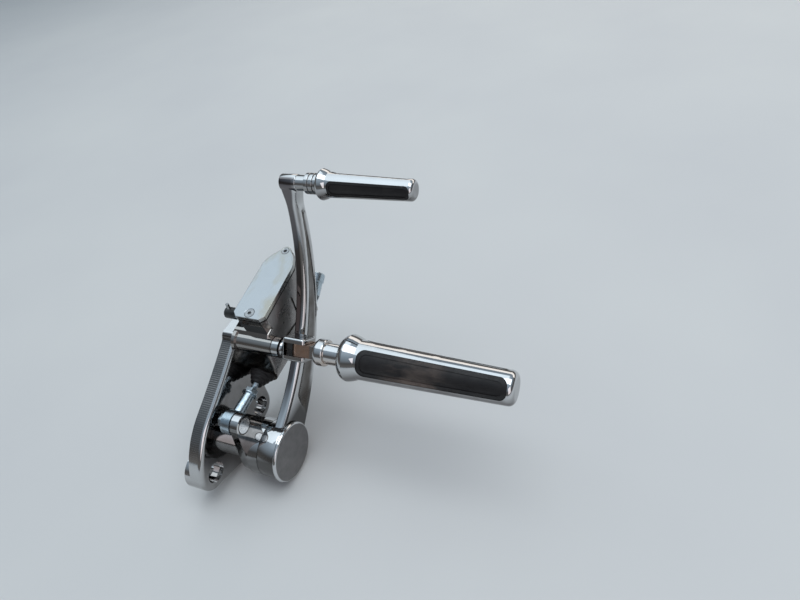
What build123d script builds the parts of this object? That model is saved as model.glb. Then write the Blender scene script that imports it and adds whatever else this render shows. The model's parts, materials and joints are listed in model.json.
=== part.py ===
from build123d import *
from math import asin, atan2, cos, radians, sin
import os

os.makedirs("parts", exist_ok=True)

# A right-hand forward foot control of a custom motorcycle: a machined bracket that bolts to the frame,
# a master cylinder with a boat-shaped reservoir, a folding footpeg and a curved brake pedal with a toe peg.
# X runs outboard from the frame, Y forward and Z up. The origin is where the pivot axis meets the mount face.
# All sizes are in millimetres, and all angles in degrees.

# Stations along the pivot axis, from the frame outboard
pad_thick = 6.0
plate_thick = 12.5
plate_out = pad_thick + plate_thick
housing_wide = 33.5
housing_out = plate_out + housing_wide
arm_gap = 7.5
arm_thick = 9.5
arm_in = housing_out + arm_gap
arm_out = arm_in + arm_thick
hub_proud = 1.0
hub_out = arm_out + hub_proud
hub_long = 16.0
hub_in = hub_out - hub_long
lever_barrel_long = 10.0
lug_thick = 7.0
lug_out = hub_in - lever_barrel_long
lug_in = lug_out - lug_thick
cap_thick = 3.0

# Fits
slip = 0.3
seat = 0.02
running = 0.05
pocket_fit = 0.12

# Pivot
pivot_r = 8.0
pivot_end_gap = 1.5
pivot_head_r = 12.0
pivot_head_long = 6.5
pivot_head_sink = 1.0
pivot_socket_flats = 10.0
pivot_boss_r = 15.0
hub_r = 23.5
cap_r = 25.0
cap_bevel = 1.2

# Frame mount
mount_spacing = 70.0
mount_hole_r = 5.25
mount_head_r = 9.0
mount_head_deep = 7.0
ear_r = 16.0

# Bracket outline in the side view
plate_top = 82.0
plate_crest = 44.0
crest_round = 4.5
brow_y = 41.0
brow_z = 76.5
brow_round = 6.0
shoulder_y = -14.0
shoulder_z = 46.0
shoulder_slope = 26.0
belly_r = 27.0
belly_half = 12.0
chin_r = 20.0
nose_y = 104.0
nose_low = 31.0
nose_r = 12.0
plate_edge_round = 3.5

# Brake linkage
stroke_angle = 14.0
bore_tilt = 5.0
lever_r = 37.0
ball_half = 5.0
bore_x = lug_in - ball_half
pin_rest_angle = 90.0 + bore_tilt + stroke_angle / 2
pin_y = lever_r * cos(radians(pin_rest_angle))
pin_z = lever_r * sin(radians(pin_rest_angle))
pin_boss_r = 9.5
lever_bolt_r = 3.0
bolt_head_r = 6.5
bolt_head_long = 4.0
bolt_recess_r = 7.5
ball_r = 6.5
eye_r = 10.0
eye_half = 4.2
eye_clear = 0.6
shank_r = 4.8
shank_end = 27.0
thread_r = 2.75
thread_start = 17.5
thread_end = 66.0
nut_flats = 10.0
nut_long = 4.0
nut_flange_r = 6.6
nut_flange_long = 1.2

# Master cylinder
bore_face = 52.0
bore_long = 80.0
bore_housing_r = 13.0
bore_nose_chamfer = 1.6
bore_r = 7.5
bore_deep = 30.0
boot_wide_r = 11.0
boot_tip_r = 5.6
boot_long = 14.0
boot_lip = 2.5
block_rear = 38.0
block_low = 48.3
block_front = 92.0
block_rise = 15.5
block_shoulder = 4.0
block_nape = 12.0
block_round = 2.0
pocket_rear = 63.5
pocket_front = 88.0
pocket_low = 66.0
pocket_below_cover = 15.5
pocket_deep = 0.9
pocket_round = 5.0

# Fitting of the brake line, screwed into the cylinder's nose
fitting_flats = 17.0
fitting_hex_long = 10.0
fitting_shank_r = 6.0
fitting_shank_long = 9.0
elbow_tilt = 35.0
elbow_r = 8.5
elbow_long = 22.0
elbow_collar_r = 9.3
elbow_collar_long = 9.0
elbow_chamfer = 1.0
port_r = 4.5
port_deep = 14.0

# Reservoir and its cover
cover_tilt = 10.6
cover_rear_y = 47.0
cover_rear_z = 102.0
reservoir_clear = 3.5
cover_half = (housing_wide - reservoir_clear) / 2
cover_x = housing_out - cover_half
cover_long = 76.0
cover_straight = 56.0
cover_flank_s = 64.5
cover_flank_half = 11.2
cover_tip_s = 72.0
cover_tip_half = 4.8
cover_corner = 4.0
cover_thick = 4.0
cover_screw_rear_s = 5.0
cover_screw_front_s = 71.0
gasket_thick = 1.0
gasket_inset = 0.6
reservoir_deep = 27.0
reservoir_inset = 0.0
screw_head_r = 4.0
screw_head_deep = 3.0
screw_shank_r = 2.0
screw_long = 14.0
screw_socket_flats = 3.0
screw_socket_deep = 2.0

# Footpeg and its clevis
boss_y = 46.2
boss_z = 74.6
peg_y = 47.6
peg_z = 76.6
peg_pin_tilt = 56.0
peg_stud_r = 6.0
peg_stud_long = 26.0
peg_boss_r = 8.8
peg_boss_proud = 3.5
peg_boss_ring_r = 10.4
peg_boss_ring_long = 3.0
collar_r = 8.6
collar_gap_r = 7.6
collar_gap_long = 0.8
collar_band_long = 5.8
collar_neck_r = 6.4
collar_end_r = 7.2
collar_long = 14.5
ear_span = 18.6
ear_deep = 18.0
ear_end_round = 3.0
ear_edge_round = 1.6
slot_wide = 10.4
slot_floor = 2.0
fork_long = 21.0
fork_start = housing_out + collar_long
fork_end = fork_start + fork_long
pin_from_end = 7.5
ear_cut = 0.8
peg_pin_x = fork_end - pin_from_end
peg_pin_r = 4.0
tongue_thick = 9.8
tongue_deep = 15.0
shoulder_gap = 13.5
shoulder_long = 10.0
shoulder_r = 10.7
shoulder_round = 4.2
shoulder_end_round = 1.6
neck_long = 13.5
neck_r = 8.6

# Housing screws, from the hidden side of the bracket: y, z
housing_screws_at = ((58.0, 64.0), (84.0, 68.0), (72.0, 75.0))
housing_screw_r = 3.0
housing_screw_head_r = 5.0
housing_screw_head_long = 6.0
housing_screw_socket_flats = 5.0
housing_screw_socket_deep = 4.5
housing_screw_end_gap = 1.0
housing_screw_grip = 12.0

# Pegs: start x, y, z of the axis, bulb radius, length and where along it the crown is, body radius at the bulb and
# at the tip, body length, tip rounding, inlay length, inlay width at the bulb and at the tip, inlay corner radius, how
# far the inlay starts past the bulb, the border round its sunk field, the root's radius and the angles of its three
# inlays seen along +X
foot_start = peg_pin_x + shoulder_gap + shoulder_long + neck_long
foot_peg = dict(x=foot_start, y=peg_y, z=peg_z, bulb_r=18.3, bulb_long=16.0, crown=0.45, r=15.4, tip_r=12.6,
                long=118.5, round=4.5, inlay_long=112.0, inlay_wide=20.2, inlay_tip=16.2, inlay_round=6.0,
                inlay_gap=1.9, inlay_border=3.0, root_r=9.0, angles=(140.0, 260.0, 20.0))
toe_y = 117.0
toe_z = 184.0
barrel_r = 6.4
barrel_in = arm_in - 0.5
barrel_out = arm_out + 4.0
toe_neck_r = 6.0
toe_neck_long = 8.4
toe_ring_r = 8.0
toe_groove_r = 6.9
toe_ring_long = 3.1
toe_groove_long = 0.8
toe_ring_count = 3
toe_start = barrel_out + toe_neck_long + toe_ring_count * toe_ring_long + (toe_ring_count - 1) * toe_groove_long
toe_peg = dict(x=toe_start, y=toe_y, z=toe_z, bulb_r=11.7, bulb_long=8.0, crown=0.35, r=9.5, tip_r=7.9,
               long=68.0, round=3.0, inlay_long=64.0, inlay_wide=11.6, inlay_tip=9.8, inlay_round=3.6,
               inlay_gap=1.5, inlay_border=1.8, root_r=8.0, angles=(168.0, 288.0, 48.0))
inlay_floor = 1.6
inlay_drop = 0.35
inlay_field_deep = 0.5
toe_bolt_r = 4.0
toe_bolt_head_r = 5.0
toe_bolt_head_long = 4.0
toe_bolt_reach = 8.0
toe_bolt_socket_flats = 5.0
toe_bolt_socket_deep = 2.5

# Pedal arm: an arc from the hub to the toe barrel, bowed forward and down; its widths rearward and forward of the arc
# at the foot, the middle and the top
arm_foot_y = 14.5
arm_foot_z = 3.0
arm_top_ahead = 2.0
arm_bow = 28.0
arm_widths = (dict(share=0.0, rear=22.0, front=11.4), dict(share=0.5, rear=14.0, front=4.8),
              dict(share=1.0, rear=6.0, front=4.0))
arm_rear_round = 1.2
arm_front_round = 1.0
arm_rear_rib = 3.2
arm_front_rib = 2.6
arm_pocket_deep = 2.4
arm_pocket_from = 0.065
arm_pocket_to = 0.9
arm_pocket_corner = 1.5
arm_gusset_from = 0.93
arm_gusset_back = 1.2
arm_gusset_r = 4.4
arm_gusset_sink = 1.0

# Brake light switch, screwed sideways into the reservoir's hidden wall, with one terminal on top
switch_y = 57.0
switch_z = 93.4
switch_gap = 4.2
switch_long = 10.5
switch_r = 4.8
switch_chamfer = 0.8
stem_flats = 8.0
stem_thread_r = 2.5
stem_thread_long = 6.0
terminal_r = 1.5
terminal_high = 5.0
terminal_share = 0.4


def side(x, y=0.0, z=0.0):
    """A plane square to the pivot axis, whose own x is forward and whose own y is up."""
    return Plane(origin=(x, y, z), x_dir=(0, 1, 0), z_dir=(1, 0, 0))


def along(y, z):
    """A plane that holds a line parallel to the pivot axis, whose own x is outboard and whose own y is up."""
    return Plane(origin=(0, y, z), x_dir=(1, 0, 0), z_dir=(0, -1, 0))


def bore_plane(t):
    """A plane square to the cylinder bore, t ahead of the rod end's eye."""
    run_y = cos(radians(bore_tilt))
    run_z = sin(radians(bore_tilt))
    return Plane(origin=(bore_x, pin_y + t * run_y, pin_z + t * run_z), x_dir=(1, 0, 0), z_dir=(0, run_y, run_z))


def cover_plane(drop):
    """A plane along the reservoir cover, drop below its top face, whose own x runs to the tip."""
    run_y = cos(radians(cover_tilt))
    run_z = sin(radians(cover_tilt))
    base = Plane(origin=(cover_x, cover_rear_y, cover_rear_z), x_dir=(0, run_y, run_z), z_dir=(0, -run_z, run_y))
    return base.offset(-drop)


def peg_plane(x):
    """A plane square to the footpeg, whose own x runs along the clevis pin and whose own y is rearward and up."""
    lean = radians(peg_pin_tilt)
    return Plane(origin=(x, peg_y, peg_z), x_dir=(0, cos(lean), sin(lean)), z_dir=(1, 0, 0))


def pin_plane(start):
    """A plane square to the clevis pin, start along the pin from the footpeg's axis."""
    lean = radians(peg_pin_tilt)
    run = Vector(0, cos(lean), sin(lean))
    origin = Vector(peg_pin_x, peg_y, peg_z) + run * start
    return Plane(origin=origin, x_dir=(1, 0, 0), z_dir=run)


def arm_point(share, offset):
    """A point of the pedal arm in the side view, share of the way up its arc and offset outward from it."""
    foot = Vector(arm_foot_y, arm_foot_z)
    top = Vector(toe_y + arm_top_ahead, toe_z)
    chord = top - foot
    bend = (chord.length ** 2 / 4 + arm_bow ** 2) / (2 * arm_bow)
    outward = Vector(chord.Y, -chord.X) / chord.length
    centre = (foot + top) / 2 - outward * (bend - arm_bow)
    spread = asin(chord.length / 2 / bend)
    turn = (share - 0.5) * 2 * spread
    along_chord = chord / chord.length
    point = centre + (outward * cos(turn) + along_chord * sin(turn)) * (bend + offset)
    return (point.X, point.Y)


def boat(inset):
    """The reservoir's plan, inset all round; its own x runs from the rear edge to the tip."""
    half = cover_half - inset
    with BuildSketch() as plan:
        with BuildLine():
            left = Polyline((cover_corner, half), (cover_straight, half))
            flank = ThreePointArc(left @ 1, (cover_flank_s, cover_flank_half - inset), (cover_tip_s, cover_tip_half - inset))
            tip = ThreePointArc(flank @ 1, (cover_long - inset, 0), (cover_tip_s, -cover_tip_half + inset))
            back = ThreePointArc(tip @ 1, (cover_flank_s, -cover_flank_half + inset), (cover_straight, -half))
            right = Line(back @ 1, (cover_corner, -half))
            rear_right = Line(right @ 1, (inset, -half + cover_corner))
            rear = Line(rear_right @ 1, (inset, half - cover_corner))
            Line(rear @ 1, left @ 0)
        make_face()
    return plan.sketch


def arm_width(share, edge):
    """How far the pedal arm's rear or front edge is from its arc, share of the way up."""
    for low, high in zip(arm_widths, arm_widths[1:]):
        if share <= high["share"]:
            return low[edge] + (share - low["share"]) / (high["share"] - low["share"]) * (high[edge] - low[edge])


def arm_band(cut_from, cut_to, rear_rib, front_rib):
    """The pedal arm's curved band between two shares, with a rib taken off each edge."""
    shares = (cut_from, (cut_from + cut_to) / 2, cut_to)
    with BuildSketch() as band:
        with BuildLine():
            rear = ThreePointArc(*[arm_point(share, -arm_width(share, "rear") + rear_rib) for share in shares])
            front = ThreePointArc(*[arm_point(share, arm_width(share, "front") - front_rib) for share in shares])
            Line(rear @ 0, front @ 0)
            Line(rear @ 1, front @ 1)
        make_face()
    return band.sketch


def inlay_plane(peg, angle, rise):
    """A plane over a peg's inlay pocket, tilted with the body's taper, rise above the pocket's floor."""
    out = Vector(0, cos(radians(angle)), sin(radians(angle)))
    half = (peg["inlay_wide"] + peg["inlay_tip"]) / 4
    middle = peg["inlay_gap"] + peg["inlay_long"] / 2
    mid_r = peg["r"] + (peg["tip_r"] - peg["r"]) * middle / peg["long"]
    slope = atan2(peg["r"] - peg["tip_r"], peg["long"])
    normal = Vector(1, 0, 0) * sin(slope) + out * cos(slope)
    forward = Vector(1, 0, 0) * cos(slope) - out * sin(slope)
    base = Vector(peg["x"] + peg["bulb_long"] + middle, peg["y"], peg["z"])
    floor = (mid_r ** 2 - half ** 2) ** 0.5 - inlay_floor
    return Plane(origin=base + out * floor + normal * rise, x_dir=forward, z_dir=normal)


def pill(peg, inset):
    """The inlay's outline, tapering to the tip, inset all round."""
    half_long = peg["inlay_long"] / 2 - inset
    with BuildSketch() as outline:
        with BuildLine():
            Polyline((-half_long, peg["inlay_wide"] / 2 - inset), (half_long, peg["inlay_tip"] / 2 - inset),
                     (half_long, -peg["inlay_tip"] / 2 + inset), (-half_long, -peg["inlay_wide"] / 2 + inset), close=True)
        make_face()
        fillet(outline.vertices(), radius=peg["inlay_round"] - inset / 2)
    return outline.sketch


def cone_face(peg, drop):
    """Half of the section under a peg's tapering surface, drop below it."""
    start = peg["x"] + peg["bulb_long"]
    with BuildSketch() as section:
        with BuildLine():
            Polyline((start, 0), (start, peg["r"] - drop), (start + peg["long"], peg["tip_r"] - drop),
                     (start + peg["long"], 0), close=True)
        make_face()
    return section.sketch


def peg_outline(peg):
    """Half of a peg's section: root, bulb, tapering body and rounded tip."""
    bulb_end = peg["x"] + peg["bulb_long"]
    end = bulb_end + peg["long"]
    with BuildLine() as outline:
        root = Line((peg["x"], 0), (peg["x"], peg["root_r"]))
        rise_long = peg["crown"] * peg["bulb_long"]
        rise_high = peg["bulb_r"] - peg["root_r"]
        rise_mid = (peg["x"] + 0.4 * rise_long, peg["root_r"] + 0.79 * rise_high)
        rise = ThreePointArc(root @ 1, rise_mid, (peg["x"] + rise_long, peg["bulb_r"]))
        fall_mid = ((peg["x"] + rise_long + bulb_end) / 2, 0.38 * peg["r"] + 0.62 * peg["bulb_r"])
        fall = ThreePointArc(rise @ 1, fall_mid, (bulb_end, peg["r"]))
        body = Line(fall @ 1, (end - peg["round"], peg["tip_r"]))
        corner = (end - 0.3 * peg["round"], peg["tip_r"] - 0.32 * peg["round"])
        nose = ThreePointArc(body @ 1, corner, (end, peg["tip_r"] - peg["round"]))
        Line(nose @ 1, (end, 0))
        Line((end, 0), root @ 0)
    return outline.line


def peg_body(peg):
    """A chromed peg with its three inlay pockets."""
    with BuildPart() as body:
        with BuildSketch(along(peg["y"], peg["z"])):
            with BuildLine():
                add(peg_outline(peg))
            make_face()
        revolve(axis=Axis((0, peg["y"], peg["z"]), (1, 0, 0)))
        for angle in peg["angles"]:
            with BuildSketch(inlay_plane(peg, angle, 0)):
                add(pill(peg, 0))
            extrude(amount=peg["bulb_r"], mode=Mode.SUBTRACT)
    return body.part


def peg_inlay(peg, angle):
    """One rubber inlay, a little below the peg's surface, with a sunk field inside its border."""
    peg_axis = Axis((0, peg["y"], peg["z"]), (1, 0, 0))
    with BuildPart() as field:
        with BuildSketch(inlay_plane(peg, angle, 0)):
            add(pill(peg, peg["inlay_border"]))
        extrude(amount=peg["bulb_r"])
        with BuildSketch(along(peg["y"], peg["z"])):
            add(cone_face(peg, inlay_drop + inlay_field_deep))
        revolve(axis=peg_axis, mode=Mode.SUBTRACT)
    with BuildPart() as inlay:
        with BuildSketch(inlay_plane(peg, angle, 0)):
            add(pill(peg, pocket_fit))
        extrude(amount=peg["bulb_r"])
        with BuildSketch(along(peg["y"], peg["z"])):
            add(cone_face(peg, inlay_drop))
        revolve(axis=peg_axis, mode=Mode.INTERSECT)
        add(field.part, mode=Mode.SUBTRACT)
    return inlay.part


# Bracket plate; its rear edge runs from the ear over a shoulder and up to the brow, all of it tangent
ear_y = mount_spacing / 2
heading = radians(shoulder_slope)
shoulder_in = Vector(sin(heading), -cos(heading))
to_ear = Vector(shoulder_y + ear_y, shoulder_z)
bulge_r = (to_ear.dot(to_ear) - ear_r ** 2) / (-2 * (shoulder_in.dot(to_ear) + ear_r))
bulge_centre = Vector(shoulder_y, shoulder_z) + shoulder_in * bulge_r
ear_centre = Vector(-ear_y, 0)
ear_touch = ear_centre + (ear_centre - bulge_centre).normalized() * ear_r
bulge_mid = bulge_centre + (ear_touch + Vector(shoulder_y, shoulder_z) - bulge_centre * 2).normalized() * bulge_r
diagonal = sin(radians(45))
belly_z = -(belly_r ** 2 - belly_half ** 2) ** 0.5
with BuildPart() as bracket_plate:
    with BuildSketch(side(pad_thick)) as outline:
        with BuildLine():
            top = Line((nose_y - nose_r, plate_top), (plate_crest, plate_top))
            brow = Line(top @ 1, (brow_y, brow_z))
            waist = TangentArc((shoulder_y, shoulder_z), brow @ 1, tangent=(cos(heading), sin(heading)))
            bulge = ThreePointArc((shoulder_y, shoulder_z), bulge_mid, ear_touch)
            rear_ear = ThreePointArc(bulge @ 1, (-ear_y - ear_r * diagonal, -ear_r * diagonal), (-ear_y, -ear_r))
            to_belly = Line(rear_ear @ 1, (-belly_half, belly_z))
            belly = ThreePointArc(to_belly @ 1, (0, -belly_r), (belly_half, belly_z))
            from_belly = Line(belly @ 1, (ear_y, -ear_r))
            front_ear = ThreePointArc(from_belly @ 1, (ear_y + ear_r * diagonal, -ear_r * diagonal), (ear_y + ear_r, 0))
            chin_side = Line(front_ear @ 1, (ear_y + ear_r, nose_low - chin_r))
            chin = ThreePointArc(chin_side @ 1, (ear_y + ear_r + chin_r * (1 - diagonal), nose_low - chin_r * (1 - diagonal)),
                                 (ear_y + ear_r + chin_r, nose_low))
            low = Line(chin @ 1, (nose_y - nose_r, nose_low))
            nose = ThreePointArc(low @ 1, (nose_y - nose_r * (1 - diagonal), nose_low + nose_r * (1 - diagonal)),
                                 (nose_y, nose_low + nose_r))
            front = Line(nose @ 1, (nose_y, plate_top - nose_r))
            ThreePointArc(front @ 1, (nose_y - nose_r * (1 - diagonal), plate_top - nose_r * (1 - diagonal)), top @ 0)
        make_face()
        fillet(outline.vertices().sort_by_distance((plate_crest, plate_top))[0], radius=crest_round)
        fillet(outline.vertices().sort_by_distance((brow_y, brow_z))[0], radius=brow_round)
        for corner in ((-ear_y, -ear_r), (-belly_half, belly_z), (belly_half, belly_z), (ear_y, -ear_r)):
            fillet(outline.vertices().sort_by_distance(corner)[0], radius=brow_round)
    extrude(amount=plate_thick)
    fillet(bracket_plate.edges().group_by(Axis.X)[-1], radius=plate_edge_round)
    with BuildSketch(side(0)):
        SlotOverall(mount_spacing + 2 * ear_r, 2 * ear_r)
    extrude(amount=pad_thick)
    with BuildSketch(side(plate_out)):
        Circle(pivot_boss_r)
    extrude(amount=lug_in - slip - plate_out)
    with BuildSketch(side(0)):
        Circle(pivot_r + seat)
    extrude(amount=lug_in, mode=Mode.SUBTRACT)
    with BuildSketch(side(0)):
        Circle(pivot_head_r + slip)
    extrude(amount=pivot_head_sink + pivot_head_long, mode=Mode.SUBTRACT)
    with BuildSketch(side(0)):
        with Locations((-ear_y, 0), (ear_y, 0)):
            Circle(mount_hole_r)
    extrude(amount=plate_out, mode=Mode.SUBTRACT)
    with BuildSketch(side(plate_out)):
        with Locations((-ear_y, 0), (ear_y, 0)):
            Circle(mount_head_r)
    extrude(amount=-mount_head_deep, mode=Mode.SUBTRACT)
    with BuildSketch(side(pad_thick)):
        with Locations(*housing_screws_at):
            Circle(housing_screw_r + seat)
    extrude(amount=plate_thick, mode=Mode.SUBTRACT)
    with BuildSketch(side(pad_thick)):
        with Locations(*housing_screws_at):
            Circle(housing_screw_head_r + slip)
    extrude(amount=housing_screw_head_long, mode=Mode.SUBTRACT)
bracket_plate.part.label = "bracket_plate"
export_step(bracket_plate.part, "parts/bracket_plate.step")

# Master cylinder with its reservoir, bore housing and footpeg boss in one machined block
with BuildPart() as master_cylinder:
    with BuildSketch(side(plate_out)):
        with BuildLine():
            Polyline((block_rear, block_low), (block_front, block_low + block_rise), (block_front, plate_top + block_nape),
                     (cover_rear_y, plate_top + block_shoulder), (block_rear, boss_z), close=True)
        make_face()
    extrude(amount=housing_wide)
    fillet(master_cylinder.edges().group_by(Axis.X)[-1], radius=block_round)
    with BuildSketch(bore_plane(bore_face)):
        Circle(boot_wide_r + slip)
    extrude(amount=-boot_long, mode=Mode.SUBTRACT)
    with BuildSketch(cover_plane(cover_thick + gasket_thick)):
        add(boat(reservoir_inset))
    extrude(amount=-reservoir_deep)
    with BuildSketch(bore_plane(bore_face)):
        Circle(bore_housing_r)
    extrude(amount=bore_long - bore_nose_chamfer)
    with BuildSketch(bore_plane(bore_face + bore_long - bore_nose_chamfer)):
        Circle(bore_housing_r)
    with BuildSketch(bore_plane(bore_face + bore_long)):
        Circle(bore_housing_r - bore_nose_chamfer)
    loft()
    with BuildSketch(side(plate_out)):
        with Locations((boss_y, boss_z)):
            Circle(peg_boss_r)
    extrude(amount=housing_wide + peg_boss_proud)
    with BuildSketch(side(plate_out)):
        with Locations((boss_y, boss_z)):
            Circle(peg_boss_ring_r)
    extrude(amount=peg_boss_ring_long)
    with BuildSketch(side(housing_out + peg_boss_proud)):
        with Locations((boss_y, boss_z)):
            Circle(peg_stud_r + seat)
    extrude(amount=-peg_boss_proud - peg_stud_long - slip, mode=Mode.SUBTRACT)
    with BuildSketch(side(plate_out)):
        with Locations(*housing_screws_at):
            Circle(housing_screw_r + seat)
    extrude(amount=housing_screw_grip, mode=Mode.SUBTRACT)
    with BuildSketch(bore_plane(bore_face)):
        Circle(bore_r)
    extrude(amount=bore_deep, mode=Mode.SUBTRACT)
    with BuildSketch(bore_plane(bore_face + bore_long)):
        Circle(fitting_shank_r + seat)
    extrude(amount=-fitting_shank_long - slip, mode=Mode.SUBTRACT)
    with BuildSketch(side(housing_out - 2 * cover_half)):
        with Locations((switch_y, switch_z)):
            Circle(stem_thread_r + seat)
    extrude(amount=stem_thread_long + slip, mode=Mode.SUBTRACT)
    with BuildSketch(side(housing_out)) as pocket:
        with BuildLine():
            rise = (pocket_front - pocket_rear) * sin(radians(cover_tilt)) / cos(radians(cover_tilt))
            over = (pocket_rear - cover_rear_y) * sin(radians(cover_tilt)) / cos(radians(cover_tilt))
            pocket_top = cover_rear_z + over - pocket_below_cover
            Polyline((pocket_rear, pocket_low), (pocket_front, pocket_low), (pocket_front, pocket_top + rise),
                     (pocket_rear, pocket_top), close=True)
        make_face()
        fillet(pocket.vertices(), radius=pocket_round)
    extrude(amount=-pocket_deep, mode=Mode.SUBTRACT)
    with BuildSketch(cover_plane(cover_thick + gasket_thick)):
        with Locations((cover_screw_rear_s, 0), (cover_screw_front_s, 0)):
            Circle(screw_shank_r + seat)
    extrude(amount=-screw_long, mode=Mode.SUBTRACT)
master_cylinder.part.label = "master_cylinder"
export_step(master_cylinder.part, "parts/master_cylinder.step")

# Reservoir gasket
with BuildPart() as reservoir_gasket:
    with BuildSketch(cover_plane(cover_thick + gasket_thick)):
        add(boat(gasket_inset))
        with Locations((cover_screw_rear_s, 0), (cover_screw_front_s, 0)):
            Circle(screw_shank_r + seat, mode=Mode.SUBTRACT)
    extrude(amount=gasket_thick)
reservoir_gasket.part.label = "reservoir_gasket"
export_step(reservoir_gasket.part, "parts/reservoir_gasket.step")

# Reservoir cover
with BuildPart() as reservoir_cover:
    with BuildSketch(cover_plane(cover_thick)):
        add(boat(0))
    extrude(amount=cover_thick)
    with BuildSketch(cover_plane(0)):
        with Locations((cover_screw_rear_s, 0), (cover_screw_front_s, 0)):
            Circle(screw_shank_r + seat)
    extrude(amount=-cover_thick, mode=Mode.SUBTRACT)
    with BuildSketch(cover_plane(0)):
        with Locations((cover_screw_rear_s, 0)):
            Circle(screw_head_r + pocket_fit)
        with Locations((cover_screw_front_s, 0)):
            Circle(screw_head_r * 0.8 + pocket_fit)
    extrude(amount=-screw_head_deep, mode=Mode.SUBTRACT)
reservoir_cover.part.label = "reservoir_cover"
export_step(reservoir_cover.part, "parts/reservoir_cover.step")

# Cover screws: name, place along the cover and head radius
for name, along_s, head_r in (("cover_screw_rear", cover_screw_rear_s, screw_head_r),
                              ("cover_screw_front", cover_screw_front_s, screw_head_r * 0.8)):
    with BuildPart() as cover_screw:
        with BuildSketch(cover_plane(0)):
            with Locations((along_s, 0)):
                Circle(head_r)
        extrude(amount=-screw_head_deep)
        with BuildSketch(cover_plane(screw_head_deep)):
            with Locations((along_s, 0)):
                Circle(screw_shank_r)
        extrude(amount=-screw_long)
        with BuildSketch(cover_plane(0)):
            with Locations((along_s, 0)):
                RegularPolygon(screw_socket_flats / 2, 6, major_radius=False)
        extrude(amount=-screw_socket_deep, mode=Mode.SUBTRACT)
    cover_screw.part.label = name
    export_step(cover_screw.part, f"parts/{name}.step")

# Housing screws, sunk in the bracket's hidden side
with BuildPart() as housing_screws:
    with BuildSketch(side(pad_thick)):
        with Locations(*housing_screws_at):
            Circle(housing_screw_head_r)
            RegularPolygon(housing_screw_socket_flats / 2, 6, major_radius=False, mode=Mode.SUBTRACT)
    extrude(amount=housing_screw_socket_deep)
    with BuildSketch(side(pad_thick + housing_screw_socket_deep)):
        with Locations(*housing_screws_at):
            Circle(housing_screw_head_r)
    extrude(amount=housing_screw_head_long - housing_screw_socket_deep)
    with BuildSketch(side(pad_thick + housing_screw_head_long)):
        with Locations(*housing_screws_at):
            Circle(housing_screw_r)
    extrude(amount=plate_thick - housing_screw_head_long + housing_screw_grip - housing_screw_end_gap)
housing_screws.part.label = "housing_screws"
export_step(housing_screws.part, "parts/housing_screws.step")

# Brake line fitting in the cylinder's nose: a hex, then an elbow that turns up to its threaded port
nose_end = bore_face + bore_long
elbow_at = bore_plane(nose_end + fitting_hex_long).origin
elbow_run = Vector(0, cos(radians(elbow_tilt)), sin(radians(elbow_tilt)))
with BuildPart() as line_fitting:
    with BuildSketch(Plane(origin=elbow_at + elbow_run * (elbow_long - elbow_collar_long), x_dir=(1, 0, 0), z_dir=elbow_run)):
        Circle(elbow_collar_r)
    extrude(amount=elbow_collar_long)
    chamfer(line_fitting.edges().filter_by(GeomType.CIRCLE), length=elbow_chamfer)
    with BuildSketch(Plane(origin=elbow_at, x_dir=(1, 0, 0), z_dir=elbow_run)):
        Circle(elbow_r)
    extrude(amount=elbow_long - elbow_collar_long)
    with Locations(elbow_at):
        Sphere(elbow_r)
    with BuildSketch(bore_plane(nose_end)):
        RegularPolygon(fitting_flats / 2, 6, major_radius=False)
    extrude(amount=fitting_hex_long)
    with BuildSketch(bore_plane(nose_end - fitting_shank_long)):
        Circle(fitting_shank_r)
    extrude(amount=fitting_shank_long)
    with BuildSketch(Plane(origin=elbow_at + elbow_run * elbow_long, x_dir=(1, 0, 0), z_dir=elbow_run)):
        Circle(port_r)
    extrude(amount=-port_deep, mode=Mode.SUBTRACT)
line_fitting.part.label = "line_fitting"
export_step(line_fitting.part, "parts/line_fitting.step")
port_at = elbow_at + elbow_run * elbow_long

# Rubber boot over the mouth of the bore
with BuildPart() as boot:
    with BuildSketch(bore_plane(bore_face - boot_long)):
        Circle(boot_tip_r)
    with BuildSketch(bore_plane(bore_face - boot_lip)):
        Circle(boot_wide_r)
    loft()
    with BuildSketch(bore_plane(bore_face - boot_lip)):
        Circle(boot_wide_r)
    extrude(amount=boot_lip)
    with BuildSketch(bore_plane(bore_face - boot_long)):
        Circle(thread_r + 2 * slip)
    extrude(amount=boot_long, mode=Mode.SUBTRACT)
boot.part.label = "boot"
export_step(boot.part, "parts/boot.step")

# Pivot stud, its head sunk in the mount face
with BuildPart() as pivot_stud:
    with BuildSketch(side(pivot_head_sink)):
        Circle(pivot_head_r)
    extrude(amount=pivot_head_long)
    with BuildSketch(side(pivot_head_sink + pivot_head_long)):
        Circle(pivot_r)
    extrude(amount=hub_out - pivot_end_gap - pivot_head_sink - pivot_head_long)
    with BuildSketch(side(pivot_head_sink)):
        RegularPolygon(pivot_socket_flats / 2, 6, major_radius=False)
    extrude(amount=pivot_head_long, mode=Mode.SUBTRACT)
pivot_stud.part.label = "pivot_stud"
export_step(pivot_stud.part, "parts/pivot_stud.step")

# Footpeg clevis: stud screwed into the block's boss, turned collar, and a fork cut back where the peg folds
with BuildPart() as fork_block:
    with BuildSketch(pin_plane(-ear_span / 2)) as fork:
        with BuildLine():
            Polyline((fork_start - peg_pin_x, -ear_deep / 2), (pin_from_end - ear_cut, -ear_deep / 2),
                     (pin_from_end, ear_deep / 2), (fork_start - peg_pin_x, ear_deep / 2), close=True)
        make_face()
        fillet(fork.vertices(), radius=ear_end_round)
    extrude(amount=ear_span)
    pin_run = pin_plane(0).z_dir
    flat_sides = [face for face in fork_block.faces() if abs(face.normal_at().dot(pin_run)) > 0.99]
    fillet([edge for face in flat_sides for edge in face.edges()], radius=ear_edge_round)

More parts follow.
